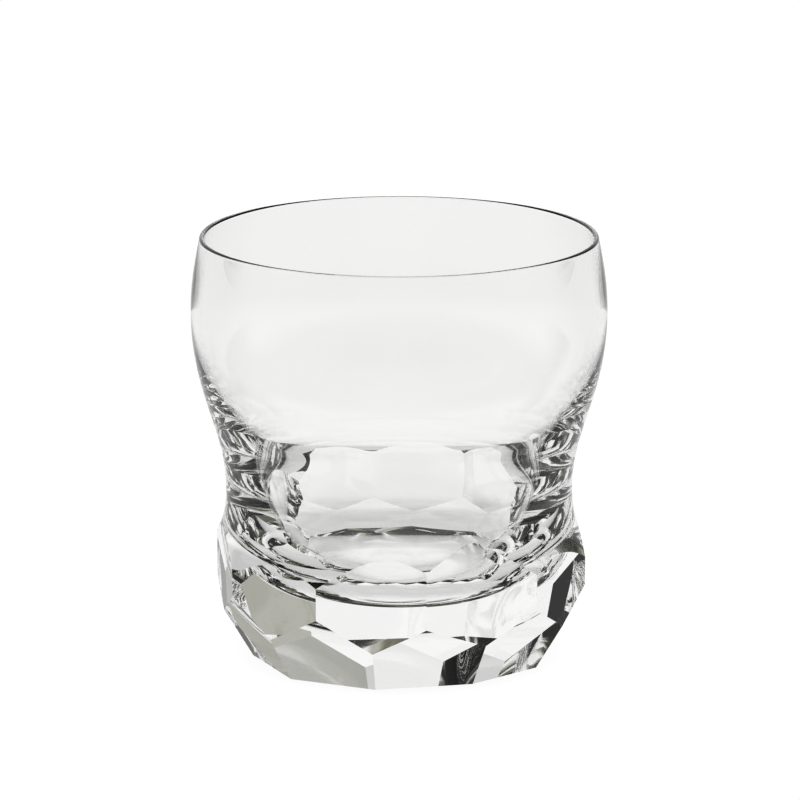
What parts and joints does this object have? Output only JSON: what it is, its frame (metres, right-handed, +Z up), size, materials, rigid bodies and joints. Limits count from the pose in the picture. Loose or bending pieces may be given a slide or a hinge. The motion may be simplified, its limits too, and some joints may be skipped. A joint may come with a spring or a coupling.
{
  "type": "whiskey tumbler",
  "caption": "Low crystal drinking glass: thin rounded bowl, drawn-in waist, thick solid base and a foot cut in staggered rows of flat facets.",
  "frame": {"origin": "on the tumbler's axis, at the flat underside of the foot", "axes": "+Z up along the tumbler's axis, towards the rim; -Y towards the front facets"},
  "size_m": [0.0896, 0.0896, 0.092],
  "materials": {
    "crystal": "polished clear crystal, cut and polished facets on the foot"
  },
  "bodies": {
    "root": {"tumbler": "crystal"}
  },
  "joints": []
}
